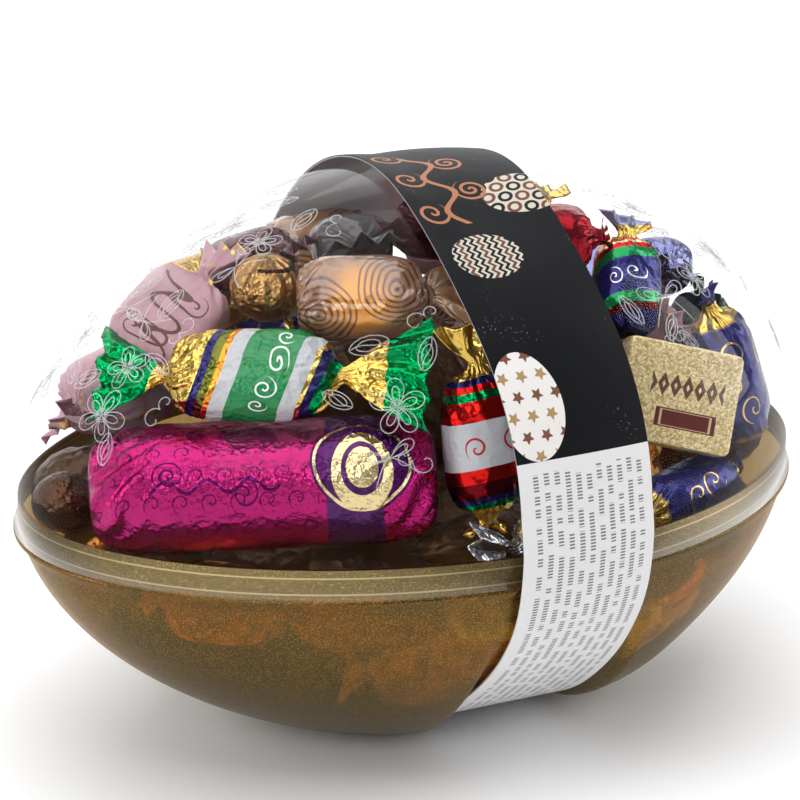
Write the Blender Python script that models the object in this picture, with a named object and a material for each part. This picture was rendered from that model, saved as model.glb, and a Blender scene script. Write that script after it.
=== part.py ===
"""An Easter egg of two plastic halves, filled with wrapped sweets and closed by a paper band.

Metres, +Z up. X is the egg's long axis, with its blunter end at +X. The origin is on the floor, under the
middle of the egg. Inside the egg, heights are levels above its long axis, and sweets are placed in mm.
"""

import math
from collections import namedtuple

import bpy
import bmesh
from mathutils import Euler, Matrix, Vector

MM = 0.001

# The egg: half its length, its girth, and how its outline departs from an ellipse
HALF_LENGTH = 105 * MM
GIRTH_RADIUS = 73.24 * MM
BLUNTNESS = 0.0585
FLATTENING = -0.0539
FLOOR_LEVEL = -69.7 * MM  # the base is flattened here, so that it stands
WIDEST_AT = 3 * MM

# The shells
BASE_WALL = 1.0 * MM
LID_WALL = 0.8 * MM
GAP = 0.3 * MM  # between pieces that touch
LIP_TOP = -2.5 * MM
SKIRT_END = -10.0 * MM
LEDGE_DEPTH = 1.0 * MM
LIP_INSET = LID_WALL + GAP
BASE_LEVELS = (-13, -23, -34, -44.5, -53.5, -60.5, -66, -69.7)  # of its rings, in mm, down to the floor
LID_LEVELS = (0, 11, 22, 33.5, 44.5, 54, 61.5, 67.5, 71.3, 73.0)
TIP_STEPS = 9  # from the channel to either tip, along one side of a ring
SHARP_ANGLE = math.radians(40)

# The channel that crosses the underside, for the band
CHANNEL = (-13 * MM, -8.5 * MM, 30 * MM, 35.5 * MM)  # where it starts, is full, is still full, ends
CHANNEL_INSIDE = (2 * MM, 13 * MM, 22 * MM)
CHANNEL_SHARE = (0.93, 0.6)  # the most of a ring that the channel's places take, low down and in the lid
CHANNEL_DEPTH = 5.4 * MM
CHANNEL_LEVELS = (-20 * MM, -57 * MM)  # where it starts and is full
SWELL = 1.4 * MM  # how much the right foot stands out of the egg's outline
SWELL_PLACE = 46 * MM
SWELL_REACH = 15 * MM

# The band
BAND_START = -8.0 * MM
BAND_END = 29.5 * MM
BAND_THICK = 0.5 * MM
BAND_STEPS = 64
BAND_OVER = 4 * MM  # left of this place it is straight, and right of it it follows the egg's surface
BAND_SKEW = -5 * MM  # how far it has slid along the egg, at most
SKEW_ANGLE = math.radians(152)  # where, from the underside
SKEW_SPREAD = math.radians(30)
BAND_SKIRT_ROOM = 1.15 * MM  # where it passes the lid's straight skirt
SKIRT_LEVELS = (-32 * MM, -12 * MM, -3 * MM, 8 * MM)  # where this starts, is full, is still full, ends
CURL = 1.0 * MM  # how far its left edge lifts at the top
CURL_WIDTH = 11 * MM
CURL_LEVELS = (50 * MM, 70 * MM)

# The filling under the sweets that can be told apart
HEAP_CENTRE = Vector((2, 0, -24)) * MM
HEAP_CORES = (  # middle and half sizes
    (Vector((2, 0, -28)) * MM, Vector((70, 42, 30)) * MM),
    (Vector((2, 8, 5)) * MM, Vector((55, 18, 27)) * MM),
)
HEAP_AROUND = 44
HEAP_DOWN = 20
LUMP = Vector((19, 10, 9.5)) * MM
LUMP_ROWS = ((-24.5, 12, 15), (-47, 8, 13.5))  # level in mm, how many, how far inside the wall in mm
LUMP_SHRINK = 0.75  # how much shorter the sweets by the tips are
LUMP_SHIFT = 0.35  # of a step, between one row and the next

# A sweet's body along its length: place, width and height as shares of half its size, and how square it is
TWIST = (
    (-1, 0.42, 0.5, 2),
    (-0.84, 0.88, 0.86, 3),
    (-0.4, 1, 1, 3),
    (0.4, 1, 1, 3),
    (0.84, 0.88, 0.86, 3),
    (1, 0.42, 0.5, 2),
)
BAR_ENDS = ((1, 0.45), (0.96, 0.72), (0.86, 0.94), (0.6, 1), (0, 1))
BAR = [(-s, w, w, 2.3) for s, w in BAR_ENDS] + [(s, w, w, 2.3) for s, w in reversed(BAR_ENDS[:-1])]
BALL_STEPS = 8
BALL_TURNS = [math.pi * (i + 0.5) / BALL_STEPS for i in range(BALL_STEPS)]
BALL = [(-math.cos(turn), math.sin(turn), math.sin(turn), 2) for turn in BALL_TURNS]
BLOCK = ((-1, 0.9, 0.9, 8), (-0.94, 1, 1, 8), (0.94, 1, 1, 8), (1, 0.9, 0.9, 8))
SHAPES = {"twist": TWIST, "bar": BAR, "ball": BALL, "block": BLOCK}
SIDES = 8

# A sweet's tail, in mm: a twisted neck, then a fan with a pleated edge
NECK_LENGTH = 3
NECK_HALF = (3.0, 2.4)
FAN_SHARE = 0.62  # the most that its half width can be, of the sweet's width
FAN_WAIST = 0.6  # its width halfway along
FAN_HALF_THICK = (0.6, 1.0)  # at its edge and halfway along, as the next two are
FAN_PLEAT = (1.1, 0.8)
FAN_LIFT = (1.0, 0.4)

COLOURS = {
    "gold_plastic": ((0.24, 0.165, 0.045), 0.35, 0.5),
    "clear_plastic": ((0.9, 0.92, 0.93), 0.05, 0.0),
    "black_paper": ((0.012, 0.012, 0.014), 0.45, 0.0),
    "mixed": ((0.3, 0.16, 0.05), 0.4, 0.5),
    "magenta": ((0.55, 0.02, 0.2), 0.3, 0.6),
    "green": ((0.02, 0.3, 0.07), 0.3, 0.6),
    "rose": ((0.42, 0.22, 0.25), 0.4, 0.2),
    "gold": ((0.55, 0.38, 0.1), 0.3, 0.8),
    "caramel": ((0.5, 0.24, 0.06), 0.3, 0.0),
    "grey_film": ((0.1, 0.09, 0.09), 0.2, 0.0),
    "maroon": ((0.1, 0.02, 0.03), 0.3, 0.3),
    "red": ((0.5, 0.02, 0.02), 0.3, 0.5),
    "silver": ((0.6, 0.6, 0.62), 0.25, 0.9),
    "brown": ((0.11, 0.06, 0.035), 0.4, 0.2),
    "blue": ((0.02, 0.015, 0.2), 0.3, 0.5),
    "lavender": ((0.2, 0.2, 0.36), 0.35, 0.4),
    "dark_green": ((0.015, 0.05, 0.035), 0.3, 0.4),
}

# One wrapped sweet. place is the middle of its body, in mm from the middle of the egg. heading and pitch
# turn its long axis, and roll turns it about that axis, in degrees. size is its body's length, width and
# height in mm, and tails are the lengths of its twisted ends at -X and +X in mm, 0 for none.
Sweet = namedtuple("Sweet", "name shape place heading pitch roll size tails colour")

SWEETS = (
    Sweet("marzipan_bar", "bar", (-54.9, -28.4, 9), -28, 4, 0, (84.5, 32.5, 32.5), (0, 0), "magenta"),
    Sweet("green_sweet", "twist", (-56, -24, 36), -36, 4, 38, (40, 24, 17), (15, 24), "green"),
    Sweet("pink_sweet", "twist", (-64.5, 5.5, 40.8), 18, 38, 25, (22, 21, 13), (0, 6), "rose"),
    Sweet("foil_ball", "ball", (-42.4, -4, 50), -30, 0, 0, (18, 18, 18), (0, 0), "gold"),
    Sweet("caramel_sweet", "twist", (-27, -24, 51.5), -28, 2, 34, (31, 22, 17), (0, 14), "caramel"),
    Sweet("film_sweet", "twist", (-12, 10, 52), -108, 20, 0, (24, 21, 17), (0, 11), "grey_film"),
    Sweet("maroon_sweet", "twist", (-35.5, 20, 48), -66, 25, 0, (23, 20, 16), (0, 8), "maroon"),
    Sweet("plum_sweet", "twist", (10, 6, 55), -129, 15, 0, (24, 21, 17), (0, 12), "maroon"),
    Sweet("red_sweet", "twist", (-7.5, -52, 20.5), -93, -78, 0, (34, 20, 17), (13, 6), "red"),
    Sweet("silver_sweet", "twist", (12, -60, -4.5), 9, 0, 75, (28, 17, 15), (16, 0), "silver"),
    Sweet("mauve_sweet", "twist", (-74.3, 7.5, 21.6), 28, 0, -20, (22, 22, 16), (10, 0), "rose"),
    Sweet("brown_ball", "ball", (-91, 8.5, -3), 0, 0, 0, (17, 17, 16), (0, 0), "brown"),
    Sweet("ruby_sweet", "twist", (30.5, -13, 55), -20, 0, 0, (24, 20, 17), (0, 5), "red"),
    Sweet("striped_sweet", "twist", (49.4, -22.5, 42.1), 60, 42, 28, (26, 18, 15), (0, 8), "blue"),
    Sweet("lavender_sweet", "twist", (71.5, 1.4, 36.5), -107, 25, 0, (24, 20, 16), (0, 8), "lavender"),
    Sweet("fir_sweet", "twist", (82, -5, 21.5), -112, 45, 0, (20, 17, 15), (0, 10), "dark_green"),
    Sweet("blush_sweet", "twist", (61.5, -12, 24), -84, 35, 0, (20, 18, 14), (0, 7), "rose"),
    Sweet("royal_sweet", "twist", (76.6, -30, 17), -35, -72, 0, (34, 22, 17), (7, 0), "blue"),
    Sweet("gold_block", "block", (53, -42.5, 19.3), -19, -14, 66, (30, 27, 8), (0, 0), "gold"),
    Sweet("navy_sweet", "twist", (53, -50, -4.5), 23, 0, 90, (34, 16, 16), (8, 5), "blue"),
    Sweet("banded_sweet", "twist", (20, -49, 27), 5, 0, 60, (24, 22, 17), (4, 4), "green"),
    Sweet("amber_sweet", "twist", (3, -24, 46.5), 10, 0, 30, (25, 21, 17), (0, 4), "caramel"),
    Sweet("back_mauve", "twist", (-65, 36, 14), 30, 0, 70, (34, 21, 17), (9, 9), "rose"),
    Sweet("back_blue", "twist", (-24, 56, 13), 6, 0, 75, (36, 21, 17), (9, 6), "blue"),
    Sweet("back_red", "twist", (28, 55, 12), -6, 0, 75, (36, 21, 17), (6, 6), "red"),
    Sweet("back_green", "twist", (72, 36, 10), -36, 0, 70, (30, 21, 17), (5, 8), "green"),
    Sweet("back_gold", "twist", (-40, 38, 34), 14, 0, 45, (32, 21, 17), (8, 0), "gold"),
    Sweet("back_caramel", "twist", (-5, 41, 40), 0, 0, 45, (32, 21, 17), (0, 8), "caramel"),
    Sweet("back_rose", "twist", (36, 37, 39), -14, 0, 45, (32, 21, 17), (0, 6), "rose"),
    Sweet("back_lavender", "twist", (69, 25, 27), -40, 0, 40, (26, 20, 16), (6, 6), "lavender"),
    Sweet("top_gold", "twist", (35, 15, 52), 30, 0, 0, (26, 20, 17), (0, 8), "gold"),
    Sweet("tip_ball", "ball", (90, 4, 5), 0, 0, 0, (22, 21, 20), (0, 0), "brown"),
)

Section = namedtuple("Section", "x wide high power pleat lift")


def blend(start, end, value):
    """0 at start and 1 at end, smoothly."""
    t = min(1.0, max(0.0, (value - start) / (end - start)))
    return t * t * (3 - 2 * t)


def radius_squared(x):
    t = x / HALF_LENGTH
    fullness = 1 + BLUNTNESS * t + FLATTENING * t * t
    return GIRTH_RADIUS**2 * max(0.0, 1 - t * t) * fullness**2


def radius_slope(x):
    """Half the slope of radius_squared, which is the normal's share along -X."""
    t = x / HALF_LENGTH
    fullness = 1 + BLUNTNESS * t + FLATTENING * t * t
    change = BLUNTNESS + 2 * FLATTENING * t
    return GIRTH_RADIUS**2 / HALF_LENGTH * fullness * ((1 - t * t) * change - t * fullness)


def egg_point(x, side, level, inset):
    """A point of the egg's surface, moved inwards by inset along the normal."""
    y = side * math.sqrt(max(0.0, radius_squared(x) - level**2))
    normal = Vector((-radius_slope(x), y, level)).normalized()
    return Vector((x, y, level)) - inset * normal


def reach(level, tip):
    """Where the egg is just as thick as level, on the way to one tip."""
    widest, far = WIDEST_AT, tip
    for _ in range(50):
        middle = (widest + far) / 2
        if radius_squared(middle) > level**2:
            widest = middle
        else:
            far = middle
    return widest


def stations(level):
    """The X places round one ring, from tip to tip, close together across the channel."""
    left, right = reach(level, -HALF_LENGTH), reach(level, HALF_LENGTH)
    middle, room = (left + right) / 2, (right - left) / 2
    span = max(abs(x - middle) for x in CHANNEL)
    shrink = min(1.0, CHANNEL_SHARE[level > 0] * room / span)
    inner = CHANNEL[:2] + CHANNEL_INSIDE + CHANNEL[2:]
    inner = [middle + (x - middle) * shrink for x in inner]
    bends = [math.sin(math.pi / 2 * i / TIP_STEPS) for i in range(1, TIP_STEPS + 1)]
    to_left = [inner[0] + (left - inner[0]) * bend for bend in bends]
    to_right = [inner[-1] + (right - inner[-1]) * bend for bend in bends]
    return to_left[::-1] + inner + to_right


def ring(level, inset, height=None):
    """One closed ring of the egg at a level, tip to tip and back. height moves it to another level."""
    places = stations(level)
    there = [(x, 1) for x in places]
    back = [(x, -1) for x in places[-2:0:-1]]
    points = [egg_point(x, side, level, inset) for x, side in there + back]
    if height is not None:
        for point in points:
            point.z = height
    return points


def base_form(point, inset):
    """The base's own form: the swell of its right foot, the flat that it stands on, and the channel."""
    depth = blend(*CHANNEL_LEVELS, point.z)
    outwards = Vector((0, point.y, point.z)).normalized()
    swell = SWELL * depth * math.exp(-(((point.x - SWELL_PLACE) / SWELL_REACH) ** 2))
    point = point + outwards * swell
    point.z = max(point.z, FLOOR_LEVEL + inset)
    across = blend(CHANNEL[0], CHANNEL[1], point.x) - blend(CHANNEL[2], CHANNEL[3], point.x)
    return point - outwards * CHANNEL_DEPTH * depth * across


def shell_mesh(name, outer, inner):
    """A cup from rings that run from its rim to its pole, outside and inside."""
    form = bmesh.new()
    around = len(outer[0])
    half = around // 2

    def side(rings):
        made = [[form.verts.new(point) for point in points] for points in rings]
        for low, high in zip(made, made[1:]):
            for i in range(around):
                j = (i + 1) % around
                form.faces.new((low[i], low[j], high[j], high[i]))
        pole = made[-1]
        form.faces.new((pole[0], pole[1], pole[-1]))
        for i in range(1, half - 1):
            form.faces.new((pole[i], pole[i + 1], pole[-i - 1], pole[-i]))
        form.faces.new((pole[half - 1], pole[half], pole[half + 1]))
        return made[0]

    rim, inside = side(outer), side(inner)
    for i in range(around):
        j = (i + 1) % around
        form.faces.new((rim[i], rim[j], inside[j], inside[i]))
    return finished(form, name)


def finished(form, name):
    bmesh.ops.recalc_face_normals(form, faces=form.faces)
    bmesh.ops.triangulate(form, faces=form.faces)
    mesh = bpy.data.meshes.new(name)
    form.to_mesh(mesh)
    form.free()
    mesh.shade_smooth()
    mesh.set_sharp_from_angle(angle=SHARP_ANGLE)
    return mesh


def base_mesh():
    lip = [ring(0, LIP_INSET, LIP_TOP), ring(0, LIP_INSET, SKIRT_END - GAP)]
    ledge = [ring(0, 0, SKIRT_END - GAP), ring(0, 0, SKIRT_END - GAP - LEDGE_DEPTH)]
    outer = [[base_form(p, 0) for p in ring(level * MM, 0)] for level in BASE_LEVELS]
    inner = [[base_form(p, BASE_WALL) for p in ring(level * MM, BASE_WALL)] for level in BASE_LEVELS[1:]]
    collar = LIP_INSET + BASE_WALL
    throat = [ring(0, collar, LIP_TOP), ring(0, collar, SKIRT_END - GAP - LEDGE_DEPTH)]
    return shell_mesh("base", lip + ledge + outer, throat + inner)


def lid_mesh():
    outer = [ring(0, 0, SKIRT_END)] + [ring(level * MM, 0) for level in LID_LEVELS]
    inner = [ring(0, LID_WALL, SKIRT_END)] + [ring(level * MM, LID_WALL) for level in LID_LEVELS]
    return shell_mesh("lid", outer, inner)


def band_point(angle, across, thick):
    """A point of the paper loop. angle runs from the underside, and across from its left edge."""
    x = BAND_START + across + BAND_SKEW * math.exp(-(((angle - SKEW_ANGLE) / SKEW_SPREAD) ** 2))
    girth = math.sqrt(radius_squared(BAND_OVER))
    level = -girth * math.cos(angle)
    sunk = blend(*CHANNEL_LEVELS, level)
    room = GAP + BAND_SKIRT_ROOM * (blend(*SKIRT_LEVELS[:2], level) - blend(*SKIRT_LEVELS[2:], level))
    room += CURL * blend(CURL_WIDTH, 0, across) * blend(*CURL_LEVELS, level)
    room += (math.sqrt(radius_squared(max(x, BAND_OVER))) - girth) * (1 - sunk) - CHANNEL_DEPTH * sunk
    radius = girth + room + thick
    return x, -radius * math.sin(angle), -radius * math.cos(angle)


def band_mesh():
    form = bmesh.new()
    width = BAND_END - BAND_START
    columns = (0, CURL_WIDTH / 2, CURL_WIDTH, (CURL_WIDTH + width) / 2, width)
    section = [(across, 0) for across in columns] + [(across, BAND_THICK) for across in reversed(columns)]
    loops = []
    for i in range(BAND_STEPS):
        angle = 2 * math.pi * i / BAND_STEPS
        loops.append([form.verts.new(band_point(angle, across, thick)) for across, thick in section])
    for here, there in zip(loops, loops[1:] + loops[:1]):
        for i in range(len(here)):
            j = (i + 1) % len(here)
            form.faces.new((here[i], here[j], there[j], there[i]))
    return finished(form, "band")


def lumps():
    """The sweets of the filling: their middles and headings, in rows along the inside of the base."""
    found = []
    for row, (level, count, inset) in enumerate(LUMP_ROWS):
        places = [base_form(p, inset * MM) for p in ring(level * MM, inset * MM)]
        steps = [(b - a).length for a, b in zip(places, places[1:] + places[:1])]
        total = sum(steps)
        for i in range(count):
            wanted = (i + LUMP_SHIFT * row) / count * total
            j = 0
            while wanted > steps[j]:
                wanted -= steps[j]
                j += 1
            ahead = places[(j + 1) % len(places)] - places[j]
            middle = places[j] + ahead * (wanted / steps[j])
            found.append((middle, math.atan2(ahead.y, ahead.x)))
    return found


def way_out(start, direction, middle, turn, half):
    """How far along direction a ray leaves an ellipsoid, or 0."""
    origin = turn @ (start - middle)
    way = turn @ direction
    o = Vector((origin.x / half.x, origin.y / half.y, origin.z / half.z))
    w = Vector((way.x / half.x, way.y / half.y, way.z / half.z))
    a, b, c = w.dot(w), o.dot(w), o.dot(o) - 1
    inside = b * b - a * c
    return max(0.0, (-b + math.sqrt(inside)) / a) if inside > 0 else 0.0


def heap_mesh():
    """The filling as one solid: a core with the sweets at its outside fused to it, seen from its centre."""
    found = [(middle, Matrix.Identity(3), half) for middle, half in HEAP_CORES]
    for middle, heading in lumps():
        shrink = 1 - LUMP_SHRINK * (middle.x / HALF_LENGTH) ** 2
        half = Vector((LUMP.x * shrink, LUMP.y, LUMP.z))
        found.append((middle, Matrix.Rotation(-heading, 3, "Z"), half))
    form = bmesh.new()

    def point(down, around):
        lean, turn = math.pi * down / HEAP_DOWN, 2 * math.pi * around / HEAP_AROUND
        way = Vector((math.sin(lean) * math.cos(turn), math.sin(lean) * math.sin(turn), math.cos(lean)))
        far = max(way_out(HEAP_CENTRE, way, *ellipsoid) for ellipsoid in found)
        return form.verts.new(HEAP_CENTRE + way * far)

    top, bottom = point(0, 0), point(HEAP_DOWN, 0)
    rows = [[point(down, around) for around in range(HEAP_AROUND)] for down in range(1, HEAP_DOWN)]
    for i in range(HEAP_AROUND):
        j = (i + 1) % HEAP_AROUND
        form.faces.new((top, rows[0][i], rows[0][j]))
        form.faces.new((bottom, rows[-1][j], rows[-1][i]))
        for high, low in zip(rows, rows[1:]):
            form.faces.new((high[i], low[i], low[j], high[j]))
    return finished(form, "filling")


def section_points(section):
    """A rounded cross-section, with its rim pleated up and down where pleat isn't 0."""
    points = []
    for i in range(SIDES):
        angle = 2 * math.pi * (i + 0.5) / SIDES
        y = math.copysign(abs(math.cos(angle)) ** (2 / section.power), math.cos(angle))
        z = math.copysign(abs(math.sin(angle)) ** (2 / section.power), math.sin(angle))
        fold = section.pleat * math.cos(math.pi * (i if i < SIDES / 2 else SIDES - 1 - i))
        points.append((section.x, y * section.wide, z * section.high + fold + section.lift))
    return points


def lofted(name, sections):
    """A closed body through cross-sections, in mm along X."""
    form = bmesh.new()
    rings = [[form.verts.new(Vector(p) * MM) for p in section_points(section)] for section in sections]
    for here, there in zip(rings, rings[1:]):
        for i in range(SIDES):
            j = (i + 1) % SIDES
            form.faces.new((here[i], here[j], there[j], there[i]))
    form.faces.new(rings[0])
    form.faces.new(rings[-1])
    return finished(form, name)


def tail(end, length, wide, way):
    """The twisted neck and the fan of one end, from the fan's edge inwards. way is -1 or 1 along X."""
    fan = min(FAN_SHARE * wide, NECK_HALF[0] + length / 2)
    edge = Section(end + way * length, fan, FAN_HALF_THICK[0], 2, FAN_PLEAT[0], FAN_LIFT[0])
    halfway = end + way * (length + NECK_LENGTH) / 2
    waist = Section(halfway, FAN_WAIST * fan, FAN_HALF_THICK[1], 2, FAN_PLEAT[1], FAN_LIFT[1])
    return [edge, waist, Section(end + way * NECK_LENGTH, *NECK_HALF, 2, 0, 0)]


def sweet_sections(sweet):
    """The cross-sections of a sweet, from one end to the other."""
    length, wide, high = (size / 2 for size in sweet.size)
    body = [Section(s * length, w * wide, h * high, power, 0, 0) for s, w, h, power in SHAPES[sweet.shape]]
    before = tail(-length, sweet.tails[0], 2 * wide, -1) if sweet.tails[0] else []
    after = tail(length, sweet.tails[1], 2 * wide, 1)[::-1] if sweet.tails[1] else []
    return before + body + after


def material(name):
    made = bpy.data.materials.get(name)
    if made:
        return made
    colour, roughness, metallic = COLOURS[name]
    made = bpy.data.materials.new(name)
    made.use_nodes = True
    surface = made.node_tree.nodes["Principled BSDF"]
    surface.inputs["Base Color"].default_value = (*colour, 1)
    surface.inputs["Roughness"].default_value = roughness
    surface.inputs["Metallic"].default_value = metallic
    return made


def piece(name, mesh, colour, parent):
    made = bpy.data.objects.new(name, mesh)
    made.data.materials.append(material(colour))
    made.parent = parent
    bpy.context.scene.collection.objects.link(made)
    return made


def wrapped_sweet(sweet, parent):
    made = piece(sweet.name, lofted(sweet.name, sweet_sections(sweet)), sweet.colour, parent)
    made.location = Vector(sweet.place) * MM
    made.rotation_euler = Euler([math.radians(a) for a in (sweet.roll, -sweet.pitch, sweet.heading)])


def main():
    for old in list(bpy.data.objects):
        bpy.data.objects.remove(old)
    egg = bpy.data.objects.new("egg", None)
    egg.location.z = -FLOOR_LEVEL
    bpy.context.scene.collection.objects.link(egg)
    piece("base", base_mesh(), "gold_plastic", egg)
    piece("lid", lid_mesh(), "clear_plastic", egg)
    piece("band", band_mesh(), "black_paper", egg)
    piece("filling", heap_mesh(), "mixed", egg)
    for sweet in SWEETS:
        wrapped_sweet(sweet, egg)


main()
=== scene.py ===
"""The looks of an Easter egg of wrapped sweets: two plastic shells, a printed paper band, and foils.

Shapes are worked out in mm from the egg's middle, and place_piece takes them to the frame.
"""

import math
from collections import namedtuple
from functools import partialmethod, reduce
from operator import or_

import bpy
import numpy as np
from mathutils import Euler, Matrix, Vector, noise


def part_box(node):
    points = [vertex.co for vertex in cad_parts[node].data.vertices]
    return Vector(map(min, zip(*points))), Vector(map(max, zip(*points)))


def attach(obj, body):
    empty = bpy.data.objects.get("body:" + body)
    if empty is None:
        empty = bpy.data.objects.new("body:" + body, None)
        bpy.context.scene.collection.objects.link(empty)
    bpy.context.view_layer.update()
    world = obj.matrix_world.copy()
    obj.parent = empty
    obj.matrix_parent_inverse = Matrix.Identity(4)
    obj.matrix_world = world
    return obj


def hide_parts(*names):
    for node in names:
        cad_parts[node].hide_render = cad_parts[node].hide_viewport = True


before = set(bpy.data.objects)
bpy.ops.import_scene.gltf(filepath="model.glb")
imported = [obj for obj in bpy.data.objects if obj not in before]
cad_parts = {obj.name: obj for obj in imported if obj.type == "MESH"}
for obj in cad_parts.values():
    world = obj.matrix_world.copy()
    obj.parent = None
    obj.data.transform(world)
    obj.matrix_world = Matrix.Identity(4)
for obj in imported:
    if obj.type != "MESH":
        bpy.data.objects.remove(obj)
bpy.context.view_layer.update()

MM = 0.001
SKIRT_END = -10.0
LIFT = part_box("lid")[0][2] / MM - SKIRT_END  # the egg's axis over the floor
HALF_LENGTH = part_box("lid")[1][0] / MM

# The egg's outline and shells, as the solids have them
GIRTH_RADIUS = 73.24
BLUNTNESS = 0.0585
FLATTENING = -0.0539
WIDEST_AT = 3.0
FLOOR_LEVEL = -LIFT
BASE_WALL = 1.0
LID_WALL = 0.8
GAP = 0.3
LIP_TOP = -2.5
LEDGE_DEPTH = 1.0
LIP_INSET = LID_WALL + GAP
CHANNEL = (-13.0, -8.5, 30.0, 35.5)
CHANNEL_SHARE = (0.93, 0.6)
CHANNEL_DEPTH = 5.4
CHANNEL_LEVELS = (-20.0, -57.0)
SWELL = 1.4
SWELL_PLACE = 46.0
SWELL_REACH = 15.0
LID_TOP = 73.0
STRIP_START = -10.1
# The levels of two painted highlights along the base's rim: bright lines for the light on the lid's skirt
RIM_HIGHLIGHT_LEVELS = (-4.6, -8.8)
RIM_HIGHLIGHT_HALF = 0.22
TIP_STEPS = 46
SHELL_LEVELS = 40

# The band
BAND_START = -8.0
BAND_END = 29.5
BAND_THICK = 0.5
BAND_OVER = 4.0
BAND_SKEW = -5.0
SKEW_ANGLE = math.radians(152)
SKEW_SPREAD = math.radians(30)
BAND_SKIRT_ROOM = 1.15
SKIRT_LEVELS = (-32.0, -12.0, -3.0, 8.0)
CURL = 1.0
CURL_WIDTH = 11.0
CURL_LEVELS = (50.0, 70.0)
BAND_STEPS = 360
PANEL_ANGLE = 106.7  # under it the paper is white
DEGREE_LENGTH = GIRTH_RADIUS * math.pi / 180
BAND_COLUMNS = 30
TEXT_PITCH = 2.95
STEM_PLACE = 12.0  # the flourish, across the band
STEM_WAVE = 2.6
FIRST_CURL = 161.0  # degrees from the underside
CURL_STEP = 6.2

# The camera
LENS = 217.9
CAMERA_PLACE = (-0.5460, -1.0040, 0.5187)
CAMERA_RIGHT = (0.8829, -0.4691, 0.0206)
CAMERA_UP = (0.1506, 0.3244, 0.9338)
CAMERA_FORWARD = (0.4448, 0.8214, -0.3571)

# The outlines raised on the lid: a motif, its X place, its angle above the rim, its size and its turn
RIDGE = 0.14
GARLAND = (
    ("bloom", -92, 62, 7, 20), ("leaf", -88, 80, 9, 150), ("leaf", -95, 40, 8, 60),
    ("tendril", -84, 48, 3, 30), ("bow", -76, 84, 7, 80), ("bloom", -84, 72, 6, 60),
    ("leaf", -78, 60, 9, 110), ("tendril", -70, 72, 3, 200), ("leaf", -66, 84, 10, 200),
    ("bow", -54, 80, 7, 20), ("bloom", -46, 84, 6, 40), ("leaf", -38, 82, 10, 30),
    ("tendril", -30, 76, 3.2, 60), ("bloom", -34, 32, 7, 10), ("leaf", -41, 46, 10, 0),
    ("leaf", -26, 38, 9, 60), ("bow", -38, 22, 7, 10), ("tendril", -30, 20, 3.2, 160),
    ("leaf", -44, 34, 8, 140), ("tendril", -24, 48, 3, 20), ("bow", 46, 46, 9, 10),
    ("leaf", 36, 40, 9, 120), ("bloom", 60, 52, 6, 20), ("leaf", 66, 60, 9, 40),
    ("tendril", 54, 58, 3, 60), ("bloom", 76, 66, 6, 30), ("leaf", 84, 56, 8, 70),
    ("bloom", 93, 44, 5, 10), ("leaf", 43, 36, 8, 60), ("leaf", 52, 34, 7, 140),
    ("tendril", 47, 38, 3, 200),
)

# The sweets' wrappers
AROUND = 96
STEP = 0.7
BODY_SHARE = 0.95  # of the solid's width and height
END_SHARE = 0.42
POWERS = {"twist": 2.7, "pillow": 4.5, "bar": 2.3, "ball": 2.0, "block": 12.0}  # of a body's outline
NECK_START = 2.2
NECK_LENGTH = 3.0
NECK_HALF = (2.6, 2.1)
FAN_SHARE = 0.62
FAN_GROWTH = 0.75
FAN_THICK = 0.22
CAP = (0.8, 0.5, 0.2, 0.02)  # the steps in which a plain end is drawn in
FOLDS = 7
FOLD_DEPTH = 0.2
DENT_SIZE = 5.5
DENT_DEPTH = 0.45
LEAN_SIZE = 9.0
PLEAT = 2.3
RAGGED = 0.647
BAR_DISC = (24.5, -14.0)

# The filling
HEAP_CORES = (
    ((2, 0, -30), (66, 38, 27)),
    ((2, 8, 3), (50, 15, 25)),
    ((-80, 22, -6), (13, 12, 10)),
    ((86, -4, -6), (12, 20, 10)),
    ((-76, -12, -12), (14, 14, 8)),
    ((18, -46, -8), (40, 10, 8)),
)
LUMP = (38.0, 20.0, 19.0)
LUMP_TAIL = 9.0
LUMP_SIDES = 64
LUMP_ROWS = ((-24.5, 12, 13.2), (-47, 8, 12.0))
LUMP_SHRINK = 0.75  # of the length, at the egg's tips
LUMP_SHIFT = 0.35
LUMP_ROLL = 70.0
LUMP_COLOUR_STEP = 0.618
CORE_RINGS = 41
CORE_ROUGHNESS = 0.05

# Colours
GOLD = (0.66, 0.44, 0.1)
PALE_GOLD = (0.72, 0.58, 0.3)
COPPER = (0.42, 0.17, 0.09)
EMERALD = (0.0, 0.25, 0.065)
LABEL_GREEN = (0.0, 0.2, 0.05)
OLIVE = (0.12, 0.13, 0.02)
NAVY = (0.008, 0.008, 0.09)
RED = (0.6, 0.012, 0.01)
DARK_RED = (0.13, 0.004, 0.008)
MAROON = (0.05, 0.012, 0.016)
MAGENTA = (0.38, 0.011, 0.125)
PURPLE = (0.07, 0.008, 0.09)
ROSE = (0.46, 0.26, 0.3)
MAUVE = (0.2, 0.11, 0.13)
LABEL_GREY = (0.46, 0.47, 0.49)
AMBER = (0.4, 0.17, 0.03)
BROWN = (0.05, 0.022, 0.014)
BLUE = (0.013, 0.012, 0.13)
LAVENDER = (0.27, 0.28, 0.42)
FIR = (0.01, 0.05, 0.04)
SILVER = (0.75, 0.75, 0.78)
ORANGE = (0.75, 0.27, 0.03)
BLACK = (0.004, 0.0045, 0.006)
WHITE = (0.8, 0.8, 0.8)
CREAM = (0.6, 0.55, 0.46)
INSIDE_PAPER = (0.42, 0.41, 0.44)
GOLD_LIGHT = (1.0, 0.8, 0.45)  # what the base's plastic lets through

# One wrapped sweet: its look, where it lies in mm, its heading, pitch and roll in degrees, its size in mm,
# the lengths of its twisted ends, and its form
Sweet = namedtuple("Sweet", "name look place angles size tails shape", defaults=("twist",))

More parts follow.
